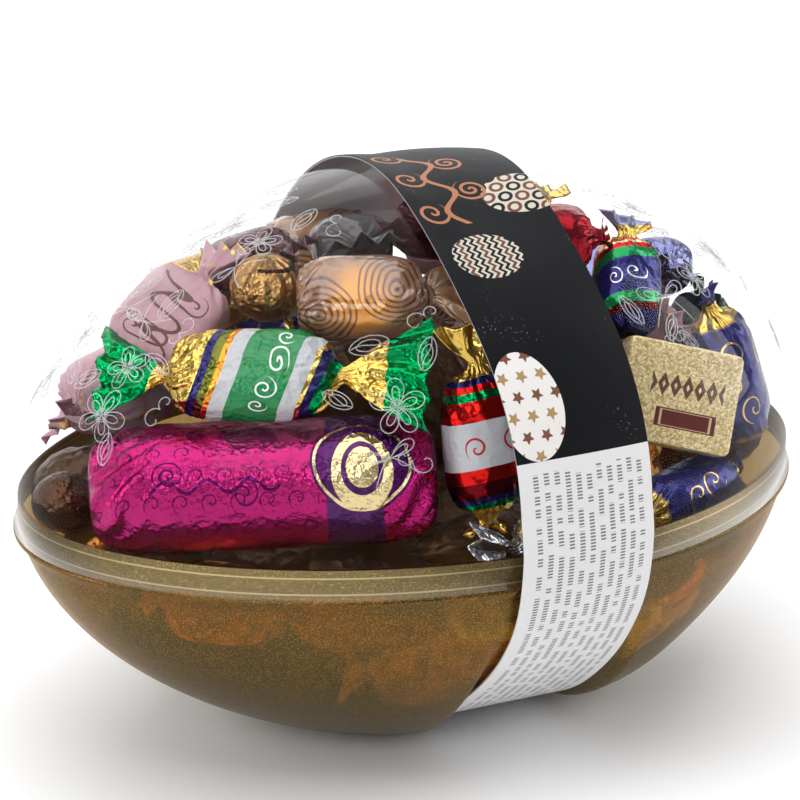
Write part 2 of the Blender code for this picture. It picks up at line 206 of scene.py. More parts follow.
SWEETS = (
    Sweet("marzipan_bar", "bar", (-54.9, -28.4, 9), (-28, 4, 0), (84.5, 32.5, 32.5), (0, 0), "bar"),
    Sweet("green_sweet", "green", (-56, -24, 36), (-36, 4, 38), (40, 24, 17), (19, 24)),
    Sweet("pink_sweet", "rose", (-64.5, 5.5, 40.8), (18, 38, 25), (27, 25, 13), (0, 12), "pillow"),
    Sweet("foil_ball", "nut", (-42.4, -4, 50), (-30, 0, 0), (18, 18, 18), (0, 0), "ball"),
    Sweet("caramel_sweet", "caramel", (-27, -24, 51.5), (-28, 2, 34), (31, 22, 17), (0, 14)),
    Sweet("film_sweet", "smoke", (-12, 10, 52), (-108, 20, 0), (24, 21, 17), (0, 11)),
    Sweet("maroon_sweet", "maroon", (-35.5, 20, 48), (-66, 25, 0), (23, 20, 16), (0, 8)),
    Sweet("plum_sweet", "maroon", (10, 6, 55), (-129, 15, 0), (24, 21, 17), (0, 12)),
    Sweet("red_sweet", "red", (-7.5, -52, 20.5), (-93, -78, 0), (34, 20, 17), (13, 6)),
    Sweet("silver_sweet", "silver", (12, -60, -4.5), (9, 0, 75), (28, 17, 15), (16, 0)),
    Sweet("mauve_sweet", "mauve", (-74.3, 7.5, 21.6), (28, 0, -20), (22, 22, 16), (10, 0)),
    Sweet("brown_ball", "brown", (-91, 8.5, -3), (0, 0, 0), (17, 17, 16), (0, 0), "ball"),
    Sweet("ruby_sweet", "ruby", (30.5, -13, 55), (-20, 0, 0), (24, 20, 17), (0, 5)),
    Sweet("striped_sweet", "striped", (49.4, -22.5, 42.1), (60, 42, 28), (26, 18, 15), (0, 8)),
    Sweet("lavender_sweet", "lavender", (71.5, 1.4, 36.5), (-107, 25, 0), (24, 20, 16), (0, 8)),
    Sweet("fir_sweet", "fir", (82, -5, 21.5), (-112, 45, 0), (20, 17, 15), (0, 10)),
    Sweet("blush_sweet", "rose", (61.5, -12, 24), (-84, 35, 0), (20, 18, 14), (0, 7)),
    Sweet("royal_sweet", "royal", (76.6, -30, 17), (-35, -72, 0), (34, 22, 17), (7, 0)),
    Sweet("gold_block", "block", (53, -42.5, 19.3), (-19, -14, 66), (30, 27, 8), (0, 0), "block"),
    Sweet("navy_sweet", "royal", (53, -50, -4.5), (23, 0, 90), (34, 16, 16), (8, 5)),
    Sweet("banded_sweet", "green", (20, -49, 27), (5, 0, 60), (24, 22, 17), (4, 4)),
    Sweet("amber_sweet", "caramel", (3, -24, 46.5), (10, 0, 30), (25, 21, 17), (0, 4)),
    Sweet("back_mauve", "rose", (-65, 36, 14), (30, 0, 70), (34, 21, 17), (9, 9)),
    Sweet("back_blue", "royal", (-24, 56, 13), (6, 0, 75), (36, 21, 17), (9, 6)),
    Sweet("back_red", "red", (28, 55, 12), (-6, 0, 75), (36, 21, 17), (6, 6)),
    Sweet("back_green", "green", (72, 36, 10), (-36, 0, 70), (30, 21, 17), (5, 8)),
    Sweet("back_gold", "gold", (-40, 38, 34), (14, 0, 45), (32, 21, 17), (8, 0)),
    Sweet("back_caramel", "caramel", (-5, 41, 40), (0, 0, 45), (32, 21, 17), (0, 8)),
    Sweet("back_rose", "rose", (36, 37, 39), (-14, 0, 45), (32, 21, 17), (0, 6)),
    Sweet("back_lavender", "lavender", (69, 25, 27), (-40, 0, 40), (26, 20, 16), (6, 6)),
    Sweet("top_gold", "gold", (35, 15, 52), (30, 0, 0), (26, 20, 17), (0, 8)),
    Sweet("tip_ball", "brown", (90, 4, 5), (0, 0, 0), (22, 21, 20), (0, 0), "ball"),
)


def blend(start, end, value):
    """0 at start and 1 at end, smoothly."""
    t = np.clip((value - start) / (end - start), 0.0, 1.0)
    return t * t * (3 - 2 * t)


def radius_squared(x):
    t = x / HALF_LENGTH
    fullness = 1 + BLUNTNESS * t + FLATTENING * t * t
    return GIRTH_RADIUS**2 * np.maximum(0.0, 1 - t * t) * fullness**2


def radius_slope(x):
    """Half the slope of radius_squared, which is the normal's share along -X."""
    t = x / HALF_LENGTH
    fullness = 1 + BLUNTNESS * t + FLATTENING * t * t
    change = BLUNTNESS + 2 * FLATTENING * t
    return GIRTH_RADIUS**2 / HALF_LENGTH * fullness * ((1 - t * t) * change - t * fullness)


def unit(vectors):
    return vectors / np.maximum(1e-9, np.linalg.norm(vectors, axis=-1, keepdims=True))


def stacked(*parts):
    """Points from their x, y and z."""
    return np.stack(np.broadcast_arrays(*parts), -1)


def turns_round(count):
    """Equal steps round a circle."""
    return 2 * math.pi * np.arange(count) / count


def egg_points(x, side, level, inset):
    """Points of the egg's surface, moved inwards by inset along the normal."""
    y = side * np.sqrt(np.maximum(0.0, radius_squared(x) - level**2))
    return stacked(x, y, level) - inset * unit(stacked(-radius_slope(x), y, level))


def reach(level, tip):
    """Where the egg is just as thick as level, on the way to one tip."""
    widest, far = WIDEST_AT, tip
    for _ in range(50):
        middle = (widest + far) / 2
        if radius_squared(middle) > level**2:
            widest = middle
        else:
            far = middle
    return widest


def stations(level):
    """The X places round one ring, from tip to tip, close together at the walls of the channel."""
    left, right = reach(level, -HALF_LENGTH), reach(level, HALF_LENGTH)
    middle, room = (left + right) / 2, (right - left) / 2
    span = max(abs(x - middle) for x in CHANNEL)
    shrink = min(1.0, CHANNEL_SHARE[int(level > 0)] * room / span)
    first = np.linspace(CHANNEL[0] - 2, CHANNEL[1] + 2, 12)
    last = np.linspace(CHANNEL[2] - 2, CHANNEL[3] + 2, 12)
    inner = middle + (np.concatenate([first, np.linspace(-3, 25, 12), last]) - middle) * shrink
    bends = np.sin(math.pi / 2 * np.arange(1, TIP_STEPS + 1) / TIP_STEPS)
    to_left = inner[0] + (left - inner[0]) * bends
    to_right = inner[-1] + (right - inner[-1]) * bends
    return np.concatenate([to_left[::-1], inner, to_right])


def ring(level, inset, height=None):
    """One closed ring of the egg at a level, tip to tip and back. height moves it to another level."""
    places = stations(level)
    x = np.concatenate([places, places[-2:0:-1]])
    side = np.concatenate([np.ones(len(places)), -np.ones(len(places) - 2)])
    points = egg_points(x, side, level, inset)
    if height is not None:
        points[:, 2] = height
    return points


def base_form(points, inset):
    """The base's own form: the swell of its right foot, the flat that it stands on, and the channel."""
    x = points[:, :1]
    depth = blend(*CHANNEL_LEVELS, points[:, 2:])
    outwards = unit(points * (0, 1, 1))
    points = points + outwards * SWELL * depth * np.exp(-(((x - SWELL_PLACE) / SWELL_REACH) ** 2))
    points[:, 2] = np.maximum(points[:, 2], FLOOR_LEVEL + inset)
    across = blend(CHANNEL[0], CHANNEL[1], x) - blend(CHANNEL[2], CHANNEL[3], x)
    return points - outwards * CHANNEL_DEPTH * depth * across


def levels_between(start, end):
    """Levels from start to end, at equal steps round the girth."""
    turns = np.linspace(math.asin(start / GIRTH_RADIUS), math.asin(end / GIRTH_RADIUS), SHELL_LEVELS)
    return GIRTH_RADIUS * np.sin(turns)


def strip_faces(rim):
    """Faces that close a ring across, from its first point to the one opposite."""
    half = len(rim) // 2
    faces = [[rim[0], rim[1], rim[-1]]]
    faces += [[rim[i], rim[i + 1], rim[-i - 1], rim[-i]] for i in range(1, half - 1)]
    return faces + [[rim[half - 1], rim[half], rim[half + 1]]]


def tube_faces(count, around, closed=False):
    """Faces through rings of points, shut at both ends, or joined end to end where closed."""
    index = np.arange(count * around).reshape(count, around)
    here, there = (index, np.roll(index, -1, 0)) if closed else (index[:-1], index[1:])
    quads = np.stack([here, np.roll(here, -1, 1), np.roll(there, -1, 1), there], -1).reshape(-1, 4)
    faces = quads.tolist()
    if not closed:
        faces += [face[::-1] for face in strip_faces(index[0].tolist())]
        faces += strip_faces(index[-1].tolist())
    return faces


def joined(tubes):
    """The points and faces of several tubes, each of them rings of points."""
    points, faces, start = [], [], 0
    for rings in tubes:
        points.append(rings.reshape(-1, 3))
        faces += [[start + i for i in face] for face in tube_faces(*rings.shape[:2])]
        start += len(points[-1])
    return np.concatenate(points), faces


def made_mesh(name, points, faces, places=None):
    """A mesh from points in mm, with its faces turned outwards."""
    mesh = bpy.data.meshes.new(name)
    mesh.from_pydata((points * MM).tolist(), [], faces)
    if places is not None:
        layer = mesh.attributes.new("place", "FLOAT_VECTOR", "POINT")
        layer.data.foreach_set("vector", np.ravel(places).astype(np.float32))
    mesh.update()
    mesh.calc_loop_triangles()
    corners = np.empty(len(mesh.loop_triangles) * 3, np.int32)
    mesh.loop_triangles.foreach_get("vertices", corners)
    a, b, c = np.moveaxis(points[corners].reshape(-1, 3, 3), 1, 0)
    if np.einsum("ij,ij->", a, np.cross(b, c)) < 0:
        mesh.flip_normals()
    mesh.shade_smooth()
    return mesh


def place_piece(name, mesh, finishes, slot, *nodes):
    """Links a piece, lifts it to the frame, and hides the solids that it stands in for."""
    piece = bpy.data.objects.new(name, mesh)
    for finish in np.ravel(finishes):
        mesh.materials.append(finish.material)
    bpy.context.scene.collection.objects.link(piece)
    piece.location.z = LIFT * MM
    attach(piece, "root")
    if nodes:
        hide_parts(*nodes)
    return piece


class Field:
    """A number that varies over a surface, held by a socket of a material's nodes."""

    def __init__(self, tree, socket):
        self.tree = tree
        self.socket = socket

    def math(self, operation, *others):
        node = self.tree.nodes.new("ShaderNodeMath")
        node.operation = operation
        for inlet, value in zip(node.inputs, (self, *others)):
            if isinstance(value, Field):
                self.tree.links.new(value.socket, inlet)
            else:
                inlet.default_value = value
        return Field(self.tree, node.outputs[0])

    __add__ = partialmethod(math, "ADD")
    __sub__ = partialmethod(math, "SUBTRACT")
    __mul__ = partialmethod(math, "MULTIPLY")
    __truediv__ = partialmethod(math, "DIVIDE")
    __lt__ = partialmethod(math, "LESS_THAN")
    __gt__ = partialmethod(math, "GREATER_THAN")
    __or__ = partialmethod(math, "MAXIMUM")
    __abs__ = partialmethod(math, "ABSOLUTE")

    def less(self):
        """1 minus this."""
        return self * -1 + 1

    def between(self, low, high):
        return (self > low) * (self < high)

    def smooth(self, low, high):
        """0 at low and 1 at high, smoothly."""
        node = self.tree.nodes.new("ShaderNodeMapRange")
        node.interpolation_type = "SMOOTHSTEP"
        self.tree.links.new(self.socket, node.inputs["Value"])
        node.inputs["From Min"].default_value = low
        node.inputs["From Max"].default_value = high
        return Field(self.tree, node.outputs["Result"])


def distance(x, y):
    return (x * x + y * y).math("SQRT")


def turn_share(x, y):
    """The direction of x and y, as a share of a whole turn."""
    return y.math("ARCTAN2", x) / (2 * math.pi)


def grid(value, pitch, shift=0.0):
    """Places from the middle of each cell of a row of cells."""
    return ((value / pitch + shift).math("FRACT") - 0.5) * pitch


class Finish:
    """A material, and the means to paint it."""

    def __init__(self, name, **constants):
        self.material = bpy.data.materials.new(name)
        self.material.use_nodes = True
        self.tree = self.material.node_tree
        self.shader = self.tree.nodes["Principled BSDF"]
        self.put(**constants)

    def feed(self, socket, value):
        if isinstance(value, Field):
            self.tree.links.new(value.socket, socket)
        elif isinstance(value, bpy.types.NodeSocket):
            self.tree.links.new(value, socket)
        elif isinstance(value, tuple) and len(socket.default_value) == 4:
            socket.default_value = (*value, 1)
        else:
            socket.default_value = value

    def node(self, kind, **inputs):
        node = self.tree.nodes.new(kind)
        for key, value in inputs.items():
            self.feed(node.inputs[key.replace("_", " ")], value)
        return node

    def put(self, **inputs):
        for key, value in inputs.items():
            self.feed(self.shader.inputs[key.replace("_", " ")], value)

    def split(self, socket):
        node = self.node("ShaderNodeSeparateXYZ", Vector=socket)
        return [Field(self.tree, output) for output in node.outputs]

    def places(self):
        """The piece's own coordinates: mm along it, mm round it, and how flat it is there."""
        node = self.tree.nodes.new("ShaderNodeAttribute")
        node.attribute_name = "place"
        return self.split(node.outputs["Vector"])

    def position(self):
        return self.tree.nodes.new("ShaderNodeTexCoord").outputs["Object"]

    def height(self):
        """mm over the egg's axis."""
        return self.split(self.position())[2] / MM

    def cells(self, size):
        """The distance from the middles of cells of about size mm, and a random number for each cell."""
        node = self.node("ShaderNodeTexVoronoi", Vector=self.position(), Scale=1 / (size * MM))
        return Field(self.tree, node.outputs["Distance"]), self.split(node.outputs["Color"])[0]

    def clouds(self, size, detail=2.0):
        node = self.node("ShaderNodeTexNoise", Vector=self.position(), Scale=1 / (size * MM), Detail=detail)
        return Field(self.tree, node.outputs["Fac"])

    def bands(self, value, stops):
        """Flat colours from place to place. Each stop is a place, a colour and how metallic it is."""
        first, last = stops[0][0], stops[-1][0] + 1
        node = self.node("ShaderNodeValToRGB", Fac=(value - first) / (last - first))
        node.color_ramp.interpolation = "CONSTANT"
        elements = node.color_ramp.elements
        elements.remove(elements[1])
        for i, (place, colour, metal) in enumerate(stops):
            element = elements[0] if i == 0 else elements.new((place - first) / (last - first))
            element.color = (*colour, metal)
        return node.outputs["Color"], Field(self.tree, node.outputs["Alpha"])

    def paint(self, mask, below, above):
        """above over below, where mask is 1."""
        node = self.tree.nodes.new("ShaderNodeMix")
        node.data_type = "RGBA"
        self.feed(node.inputs[0], mask)
        self.feed(node.inputs[6], below)
        self.feed(node.inputs[7], above)
        return node.outputs[2]

    def bump(self, height, depth):
        """Relief of depth mm where height is 1."""
        node = self.node("ShaderNodeBump", Height=height, Distance=depth * MM)
        normal = self.shader.inputs["Normal"]
        if normal.is_linked:
            self.feed(node.inputs["Normal"], normal.links[0].from_socket)
        self.feed(normal, node.outputs["Normal"])

    def crumple(self, size, depth):
        """The facets and fine creases of foil."""
        self.bump(self.cells(size)[0], depth)
        self.bump(self.cells(size * 0.4)[0] + self.clouds(size * 0.8) * 0.7, depth * 0.35)

    def spiral(self, s, t, middle, size, turns=1.6, thick=0.12):
        """A drawn spiral."""
        x, y = s - middle[0], t - middle[1]
        far = distance(x, y)
        line = abs((far / size * turns - turn_share(x, y)).math("FRACT") - 0.5) < thick
        return line * (far < size)

    def spirals(self, s, t, drawn):
        """Drawn spirals, each given by its middle, its size, its turns, and how thick its line is."""
        lines = [self.spiral(s, t, *one) for one in drawn]
        return reduce(or_, lines)

    def film(self, shader, clear, tint=(1, 1, 1)):
        """Lets light through the surface, by clear and in the colour tint, and gives the rest to shader."""
        through = self.node("ShaderNodeBsdfTransparent", Color=tint)
        mix = self.tree.nodes.new("ShaderNodeMixShader")
        self.feed(mix.inputs[0], clear)
        self.tree.links.new(shader.outputs[0], mix.inputs[1])
        self.tree.links.new(through.outputs[0], mix.inputs[2])
        self.tree.links.new(mix.outputs[0], self.tree.nodes["Material Output"].inputs["Surface"])


# Looks of the wrappers


def plain(colour, shade, size=3.0, depth=0.5, patch=6, metal=1.0):
    """Creased foil or film in one colour, with patches of shade of about patch mm."""

    def draw(finish, s, t, flat):
        finish.put(Base_Color=finish.paint(finish.clouds(patch), colour, shade), Metallic=metal)
        finish.crumple(size, depth)

    return draw


def green_print(finish, s, t, flat):
    slanted = s - (t + 5.4) * (flat * -0.33 + 0.33)
    stops = (
        (-60, EMERALD, 1), (-26, GOLD, 1), (-13, NAVY, 0.6), (-10.8, OLIVE, 1), (-8.6, ORANGE, 1),
        (-7.4, LABEL_GREY, 0), (-3.2, LABEL_GREEN, 0.1), (9.8, LABEL_GREY, 0), (14, GOLD, 1),
        (15, NAVY, 0.6), (17.2, EMERALD, 1), (19.4, GOLD, 1), (33, EMERALD, 1),
    )
    colour, metal = finish.bands(slanted, stops)
    drawn = (((2.5, -12), 2.6, 1.4), ((4.5, -6.5), 3.2, 1.6), ((7.5, -0.5), 2.8, -1.5), ((9, 5), 2.4, 1.3))
    finish.put(Base_Color=finish.paint(finish.spirals(s, t, drawn), colour, WHITE), Metallic=metal)
    finish.crumple(3.4, 0.75)


def rose_print(finish, s, t, flat):
    finish.put(Coat_Weight=0.12)
    stroke = abs(t - s * 0.15 - (s * 0.75).math("SINE") * 1.3) < 0.4
    curl = stroke | finish.spirals(s, t, (((-7, 1.5), 3.6, 1.7, 0.11), ((5, -1.5), 3.2, 1.4)))
    paper = finish.paint(finish.clouds(9), ROSE, (0.38, 0.2, 0.24))
    colour = finish.paint(curl * flat.less() * (abs(s) < 10), paper, (0.1, 0.02, 0.02))
    edge = (finish.clouds(3) > 0.6) * s.smooth(11, 14)
    finish.put(Base_Color=finish.paint(edge, colour, GOLD), Metallic=edge)
    finish.bump(finish.clouds(5), 0.8)
    finish.bump(finish.cells(7)[0], 0.9)


def mauve_print(finish, s, t, flat):
    edge = finish.clouds(4) > 0.6
    finish.put(Base_Color=finish.paint(edge, MAUVE, (0.3, 0.17, 0.05)), Metallic=edge)
    finish.bump(finish.clouds(4), 0.5)


def nut_print(finish, s, t, flat):
    finish.put(Metallic=1.0)
    arc = abs(distance(s, t) - 6.5) < 0.5
    foil = finish.paint(finish.clouds(3), (0.6, 0.36, 0.14), (0.35, 0.17, 0.05))
    finish.put(Base_Color=finish.paint(arc * (s > -2), foil, BROWN))
    folds = (s.math("ARCTAN2", t) * 4.3 + finish.clouds(5) * 2).math("PINGPONG", 1.0)
    finish.bump(folds, 0.7)
    finish.crumple(2.2, 0.6)


def rings_round(s, t, middle):
    """Rings printed round a middle."""
    far = distance(s - middle[0], t - middle[1])
    return ((far / 1.5).math("FRACT") < 0.4) * (far < 9.5)


def caramel_print(finish, s, t, flat):
    finish.put(Metallic=0.15)
    finish.put(Coat_Weight=1.0, Coat_Roughness=0.04)
    rings = rings_round(s, t, (-10, -9)) | rings_round(s, t, (9, -2))
    ground = finish.paint(distance(s, t + 6).smooth(4, 11), (0.68, 0.27, 0.02), (0.26, 0.13, 0.06))
    ground = finish.paint(finish.clouds(9).smooth(0.5, 0.75) * 0.5, ground, (0.16, 0.09, 0.07))
    finish.put(Base_Color=finish.paint(rings * 0.85, ground, (0.07, 0.022, 0.02)))
    finish.crumple(5, 0.5)
    finish.bump(finish.clouds(10), 1.2)


def red_print(finish, s, t, flat):
    stops = (
        (-40, GOLD, 1), (-17, NAVY, 0.6), (-15.5, RED, 1), (-14, EMERALD, 1), (-12, RED, 1),
        (-7, LABEL_GREY, 0), (4.5, RED, 1), (8, DARK_RED, 1), (12, NAVY, 0.6), (13.5, EMERALD, 1),
        (15, GOLD, 1),
    )
    colour, metal = finish.bands(s + t * 0.12, stops)
    curl = finish.spirals(s, t, (((-2, 4), 3.4, 1.6), ((0, -4), 3.2, 1.3)))
    finish.put(Base_Color=finish.paint(curl, colour, (0.4, 0.01, 0.02)), Metallic=metal)
    finish.crumple(4, 0.45)


def striped_print(finish, s, t, flat):
    stops = (
        (-40, NAVY, 0.7), (-9, DARK_RED, 1), (-7, EMERALD, 0.6), (-4, BLUE, 0.5), (6, EMERALD, 0.6),
        (9, RED, 1), (10.5, PALE_GOLD, 1), (11.5, RED, 1), (13, GOLD, 1), (18, LAVENDER, 0.6),
    )
    colour, metal = finish.bands(s + t * 0.35, stops)
    curl = finish.spirals(s, t, (((-1, 6), 2.6, 1.5, 0.1), ((1.5, 1), 2.4, 1.3, 0.1)))
    finish.put(Base_Color=finish.paint(curl, colour, WHITE), Metallic=metal)
    finish.crumple(4, 0.4)


def royal_print(finish, s, t, flat):
    middles = (((-8, -10), 4.5), ((0, -14), 5.0), ((7, -9), 4.2), ((2, 5), 5.0), ((-5, 3), 4.5))
    curl = finish.spirals(s, t, [(middle, size, 1.4, 0.07) for middle, size in middles])
    neck = abs(s).smooth(14.5, 15.5) * (abs(s) < 20)
    gold = curl | neck
    finish.put(Base_Color=finish.paint(gold, BLUE, GOLD), Metallic=gold.math("MAXIMUM", 0.55))
    finish.crumple(4.5, 0.35)


def block_print(finish, s, t, flat):
    """A row of lozenges over a framed plaque."""
    foil = finish.paint(finish.cells(0.5)[1], (0.5, 0.34, 0.11), (1.0, 0.84, 0.5))
    step = abs(grid(s, 3.2)) + abs(t - 2.2) * 0.5
    lozenges = (step < 1.5) * s.between(-8, 11.2)
    foil = finish.paint(lozenges * (step > 0.45), foil, (0.12, 0.05, 0.03))
    far = abs((s - 2.2) / 8) | abs((t + 6) / 2.4)
    plaque = far < 1
    foil = finish.paint(plaque, foil, (0.11, 0.012, 0.01))
    foil = finish.paint(far.between(0.78, 0.86), foil, (0.6, 0.42, 0.25))
    finish.put(Base_Color=foil, Metallic=(lozenges | plaque) * -0.4 + 0.45)
    finish.crumple(1.2, 0.12)


def bar_curls(s, t):
    """Small curls in staggered rows, in dark print."""
    u, v = grid(s + (t / 6.5).math("FLOOR") * 3.1, 7.0), grid(t, 6.5)
    far = distance(u, v)
    return (abs((far / 2.2 - turn_share(u, v)).math("FRACT") - 0.5) < 0.1) * (far < 2.4) * (s < 14)


def bar_print(finish, s, t, flat):
    colour, metal = finish.bands(s, ((-60, MAGENTA, 0.85), (15.5, PURPLE, 0.6), (29, MAGENTA, 0.95)))
    colour = finish.paint(bar_curls(s, t) * 0.75, colour, (0.07, 0.0, 0.06))
    line = abs(t + 19 + (s * 0.62).math("SINE") * 1.6) < 0.5
    scroll = line | finish.spirals(s, t, (((-22, -16), 4.2, 2.1), ((-4, -21), 3.8, 1.8)))
    colour = finish.paint(scroll * s.between(-27, 5) * 0.85, colour, (0.06, 0.0, 0.07))
    x, y = s - BAR_DISC[0], t - BAR_DISC[1]
    far = distance(x, y)
    low = y + 1.5
    egg = (low * low * 0.5 + x * x * (low * 0.03 + 1)).math("SQRT")
    disc = far < 12.5
    gold = ((egg < 3.9) | egg.between(5.1, 7.4) | far.between(11.2, 11.9)) * disc
    colour = finish.paint(disc, colour, PURPLE)
    finish.put(Base_Color=finish.paint(gold, colour, PALE_GOLD), Metallic=metal | gold)
    finish.put(Roughness=abs(s).smooth(30, 38) * -0.08 + 0.26)
    finish.crumple(1.7, 0.22)
    finish.bump(finish.clouds(1.1) * s.smooth(27, 31), 0.5)


# Each look: what draws it, the record's material slot, and the material's name and roughness
LOOKS = {
    "green": (green_print, "green_foil", "green stripes on gold foil", 0.22),
    "rose": (rose_print, "rose_paper", "rose waxed paper", 0.4),
    "mauve": (mauve_print, "rose_paper", "mauve waxed paper", 0.4),
    "nut": (nut_print, "gold_foil", "copper gold foil", 0.28),
    "caramel": (caramel_print, "clear_film", "printed caramel film", 0.16),
    "red": (red_print, "red_foil", "red foil with a label", 0.22),
    "striped": (striped_print, "blue_foil", "stripes on blue foil", 0.24),
    "royal": (royal_print, "blue_foil", "royal blue foil with gold curls", 0.26),
    "block": (block_print, "gold_foil", "matt gold foil", 0.45),
    "bar": (bar_print, "magenta_foil", "magenta foil", 0.25),
    "smoke": (plain((0.1, 0.095, 0.1), (0.03, 0.02, 0.02), 4, 0.4, 7, 0.0), "grey_film", "grey film", 0.15),
    "maroon": (plain(MAROON, (0.11, 0.02, 0.03), 4, 0.4, 5, 0.4), "maroon_film", "dark red film", 0.22),
    "silver": (plain(SILVER, (0.5, 0.5, 0.55)), "silver_foil", "silver foil", 0.24),
    "brown": (plain(BROWN, (0.12, 0.06, 0.03), 1.6), "brown_foil", "brown foil", 0.24),
    "ruby": (plain((0.4, 0.008, 0.02), DARK_RED, 4.0, 0.35), "red_foil", "ruby foil", 0.24),
    "lavender": (plain(LAVENDER, (0.1, 0.1, 0.3), 4.0), "lavender_foil", "lavender foil", 0.24),
    "fir": (plain(FIR, (0.002, 0.02, 0.02)), "dark_green_foil", "dark green foil", 0.24),
    "gold": (plain(GOLD, (0.5, 0.3, 0.08)), "gold_foil", "gold foil", 0.24),
}


# Wrapped sweets


def wobble(points, size, seed):
    """Smooth noise between -1 and 1, with lumps of about size mm."""
    places = (points / size + seed * 7.3).reshape(-1, 3).tolist()
    return np.array([noise.noise(place) for place in places]).reshape(points.shape[:-1])


def body_share(shape, s):
    """The body's width as a share of its fullest, from one end, -1, to the other, 1."""
    far = np.abs(s)
    if shape == "bar":
        return 0.45 + 0.55 * (1 - far**9) ** (1 / 2.2)
    if shape == "ball":
        return np.sqrt(np.maximum(0.0, 1 - (0.99 * far) ** 2))
    if shape == "block":
        return 0.92 + 0.08 * np.sqrt(1 - far**20)
    return END_SHARE + (1 - END_SHARE) * np.sqrt(1 - far ** (7.0 if shape == "pillow" else 4.2))


def wave(turns):
    """A zigzag between -1 and 1."""
    return 4 * np.abs(turns - np.floor(turns + 0.5)) - 1


def body_rows(shape, size):
    """Rows of numbers for the stations along a body: x, half width and half height in mm, the power of the
    outline, how flat it is, the pleats' height in mm, the twist, and how gathered the folds are."""
    length, wide, high = (value / 2 for value in size)
    s = np.linspace(-1, 1, int(2 * length / STEP) + 1)
    share = body_share(shape, s) * BODY_SHARE
    gather = blend(0.5, 1, np.abs(s)) * (shape in ("twist", "pillow", "bar"))
    none = np.zeros(len(s))
    return np.stack([s * length, share * wide, share * high, none + POWERS[shape], none, none, none, gather])


def tail_rows(body, wide, tail, way, twist):
    """The same for a twisted end: a neck that opens to a flat, pleated fan."""
    end_x, end_width, end_height = np.abs(body[:3, 0])
    d = np.linspace(0, tail, int(tail / STEP) + 2)[1:]
    fan = min(FAN_SHARE * wide, NECK_HALF[0] + FAN_GROWTH * tail)
    neck = blend(0, NECK_START, d)
    spread = np.clip((d - NECK_LENGTH) / (tail - NECK_LENGTH), 0, 1)
    width = end_width + (NECK_HALF[0] - end_width) * neck + (fan - NECK_HALF[0]) * spread**0.85
    thick = FAN_THICK + (NECK_HALF[1] - FAN_THICK) * (1 - blend(0, 0.5, spread))
    height = end_height + (thick - end_height) * neck
    flat, gather = blend(0, 0.4, spread), 1 - blend(0, 0.3, spread)
    return np.stack([way * (end_x + d), width, height, 0 * d + 2, flat, PLEAT * spread, twist * neck, gather])


def cap_rows(body, way):
    """The same for an end that is drawn in to its middle."""
    rows = np.repeat(body[:, :1], len(CAP), axis=1)
    rows[0] = way * np.abs(rows[0])
    rows[[1, 2, 7]] *= CAP
    return rows


def wrapper(shape, size, tails, seed, twists=(0, 0), sides=AROUND):
    """A wrapped sweet's points, ring by ring along X, and their places along it, round it, and flatness.

    twists are the angles that its two ends are turned by, and sides is how many points a ring has.
    """
    body = body_rows(shape, size)
    ends = [
        tail_rows(body, size[1], tail, way, twist) if tail else cap_rows(body, way)
        for way, tail, twist in zip((-1, 1), tails, twists)
    ]
    rows = np.concatenate([ends[0][:, ::-1], body, ends[1]], axis=1)
    x, width, height, power, flat, pleat, twist, gather = rows[..., None]
    turn = turns_round(sides)
    cos, sin = np.cos(turn), np.sin(turn)
    ribbon = 1 - 2 * np.minimum(turn, 2 * math.pi - turn) / math.pi
    y_share = np.sign(cos) * np.abs(cos) ** (2 / power) * (1 - flat) + ribbon * flat
    z_share = np.sign(sin) * (np.abs(sin) ** (2 / power) * (1 - flat) + np.abs(sin) ** 0.3 * flat)
    folds = np.abs(np.sin(FOLDS * turn + 0.45 * x + 1.3 * np.sin(3 * turn + seed)))
    squeeze = 1 - FOLD_DEPTH * gather * folds
    across, high = y_share * width * squeeze, z_share * height * squeeze
    points = stacked(x, across, high)
    dent = DENT_DEPTH * np.maximum(0, wobble(points, DENT_SIZE, seed) * (1 - flat)) * (shape != "block")
    points[..., 1:] *= (1 - dent / np.maximum(1.5, np.hypot(across, high)))[..., None]
    lean = wobble(stacked(x, across, 0.0), LEAN_SIZE, seed + 3)
    zigzag = wave(1.6 * y_share + 0.37 * seed + 0.03 * x)
    points[..., 2] += pleat * (0.75 * zigzag + 0.6 * lean + 0.3) * flat
    ragged = np.abs(wave(0.8 * y_share + 0.61 * seed)) + 0.4 * np.abs(lean)
    points[..., 0] -= np.sign(x) * RAGGED * ragged * pleat * flat
    y, z = points[..., 1].copy(), points[..., 2].copy()
    points[..., 1] = y * np.cos(twist) + z * np.sin(twist)
    points[..., 2] = z * np.cos(twist) - y * np.sin(twist)
    around = (math.pi / 2 - turn + math.pi) % (2 * math.pi) - math.pi
    t = around * (width + height) / 2 * (1 - flat) + across * flat
    if shape == "block":
        t = across * np.sign(high)
    return points, stacked(x, t, flat)


def turned(points, place, angles):
    """Points turned and moved from a sweet's own axes to the egg's."""
    heading, pitch, roll = (math.radians(a) for a in angles)
    matrix = np.array(Euler((roll, -pitch, heading)).to_matrix())
    return points @ matrix.T + place


def fan_turns(sweet):
    """The turns of a sweet's two ends that lay them flat under the lid."""
    turns = []
    for way, tail in ((-1, sweet.tails[0]), (1, sweet.tails[1])):
        end = turned(np.array([way * (sweet.size[0] + tail) / 2, 0, 0]), sweet.place, sweet.angles)
        outwards = turned(np.eye(3), np.zeros(3), sweet.angles) @ unit(end * (0.35, 1, 1))
        turn = math.atan2(outwards[1], outwards[2])
        turns.append((turn + math.pi / 2) % math.pi - math.pi / 2)
    return turns


